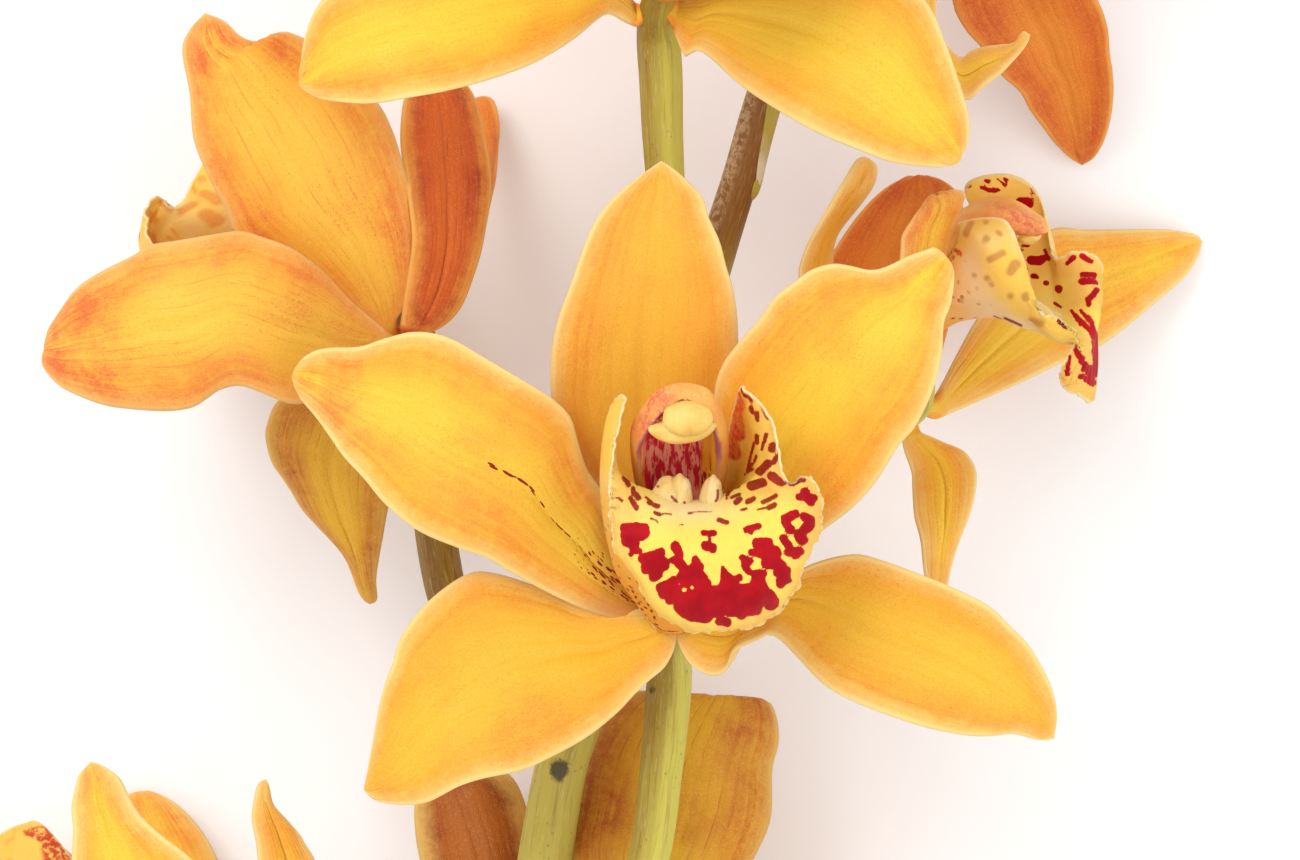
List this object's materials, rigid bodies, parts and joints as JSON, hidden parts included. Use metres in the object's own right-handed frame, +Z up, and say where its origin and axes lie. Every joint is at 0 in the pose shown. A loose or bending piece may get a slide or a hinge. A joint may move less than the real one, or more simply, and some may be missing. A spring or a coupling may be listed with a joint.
{
  "type": "cymbidium orchid stem",
  "caption": "Cut cymbidium orchid spray lying on a surface: an arching green-brown stalk with open golden-orange flowers and red-spotted lips.",
  "frame": {"origin": "middle of the bounding box at the level of the surface the stem lies on", "axes": "+Y along the stem from its cut end to the tip, +X to the right across it, +Z up from the surface, the way the front flowers face"},
  "size_m": [0.207, 0.5668, 0.1042],
  "materials": {
    "stem": "olive-brown to yellow-green fleshy stalk, fine lengthwise ridges, satin",
    "flower_stalk": "yellow-green ridged flower stalk and ovary, going over to the orange and crimson column",
    "sepal": "fleshy golden orange, fine parallel veins, pale margin, soft sheen",
    "petal": "fleshy golden orange, fine parallel veins, speckled base, pale margin, soft sheen",
    "lip": "pale yellow with crimson blotches and dots, cream frilled margin"
  },
  "bodies": {
    "root": {"stem": "stem", "flower1_dorsal_sepal": "sepal", "flower1_petal_left": "petal", "flower1_petal_right": "petal", "flower1_sepal_left": "sepal", "flower1_sepal_right": "sepal", "flower1_lip": "lip", "flower1_stalk_column": "flower_stalk", "flower2_dorsal_sepal": "sepal", "flower2_petal_left": "petal", "flower2_petal_right": "petal", "flower2_sepal_left": "sepal", "flower2_sepal_right": "sepal", "flower2_lip": "lip", "flower2_stalk_column": "flower_stalk", "flower3_dorsal_sepal": "sepal", "flower3_petal_left": "petal", "flower3_petal_right": "petal", "flower3_sepal_left": "sepal", "flower3_sepal_right": "sepal", "flower3_lip": "lip", "flower3_stalk_column": "flower_stalk", "flower4_dorsal_sepal": "sepal", "flower4_petal_left": "petal", "flower4_petal_right": "petal", "flower4_sepal_left": "sepal", "flower4_sepal_right": "sepal", "flower4_lip": "lip", "flower4_stalk_column": "flower_stalk", "flower5_dorsal_sepal": "sepal", "flower5_petal_left": "petal", "flower5_petal_right": "petal", "flower5_sepal_left": "sepal", "flower5_sepal_right": "sepal", "flower5_lip": "lip", "flower5_stalk_column": "flower_stalk", "flower6_dorsal_sepal": "sepal", "flower6_petal_left": "petal", "flower6_petal_right": "petal", "flower6_sepal_left": "sepal", "flower6_sepal_right": "sepal", "flower6_lip": "lip", "flower6_stalk_column": "flower_stalk", "flower7_dorsal_sepal": "sepal", "flower7_petal_left": "petal", "flower7_petal_right": "petal", "flower7_sepal_left": "sepal", "flower7_sepal_right": "sepal", "flower7_lip": "lip", "flower7_stalk_column": "flower_stalk"}
  },
  "joints": []
}
